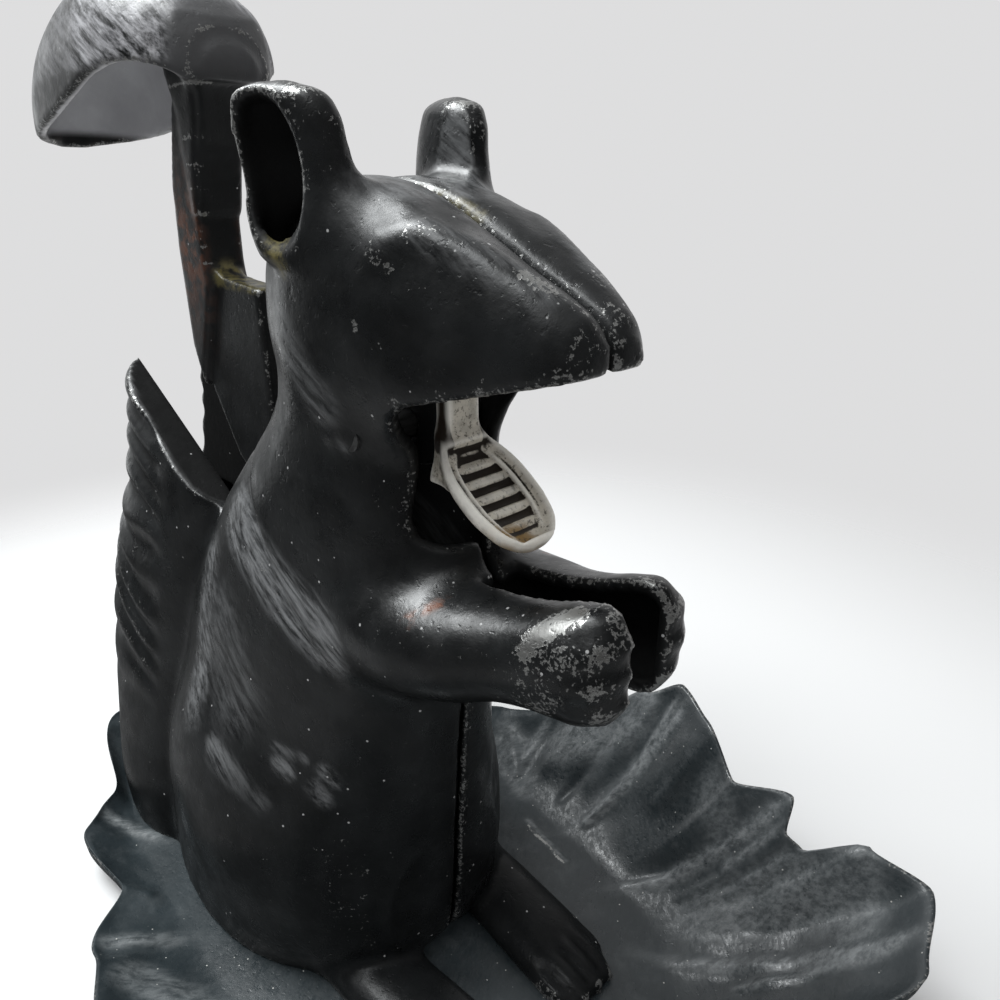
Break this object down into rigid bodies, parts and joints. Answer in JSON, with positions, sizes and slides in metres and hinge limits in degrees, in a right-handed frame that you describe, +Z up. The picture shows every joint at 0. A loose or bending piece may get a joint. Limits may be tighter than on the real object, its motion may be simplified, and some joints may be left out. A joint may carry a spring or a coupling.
{
  "type": "lever nutcracker press",
  "caption": "Seated squirrel shaped lever nutcracker: two hollow cast shells on a lobed leaf tray, with an upright tail lever that lifts a ribbed jaw spoon.",
  "frame": {"origin": "on the table under the body, the centre of the leaf tray's flat underside", "axes": "+X the way the figure looks, +Z up, +Y to its left"},
  "size_m": [0.319, 0.2002, 0.265],
  "materials": {
    "black_iron": "satin black paint over cast iron, worn to bare metal on rims and seams",
    "leaf_iron": "blue-green grey paint over cast iron, dusty",
    "worn_iron": "painted cast iron, its spoon bare and stained",
    "pin_steel": "dark steel, ends filed flush"
  },
  "bodies": {
    "figure": {"leaf_tray": "leaf_iron", "right_shell": "black_iron", "left_shell": "black_iron", "pivot_pin": "pin_steel", "chest_rivet": "pin_steel", "rump_rivet": "pin_steel", "base_screws": "pin_steel"},
    "lever": {"tail_lever": "worn_iron"}
  },
  "joints": [
    {"name": "lever_swing", "type": "hinge", "parent": "figure", "child": "lever", "pos_m": [0.024, 0, 0.1653], "axis": [0, -1, 0], "range_deg": [-10, 38]}
  ]
}
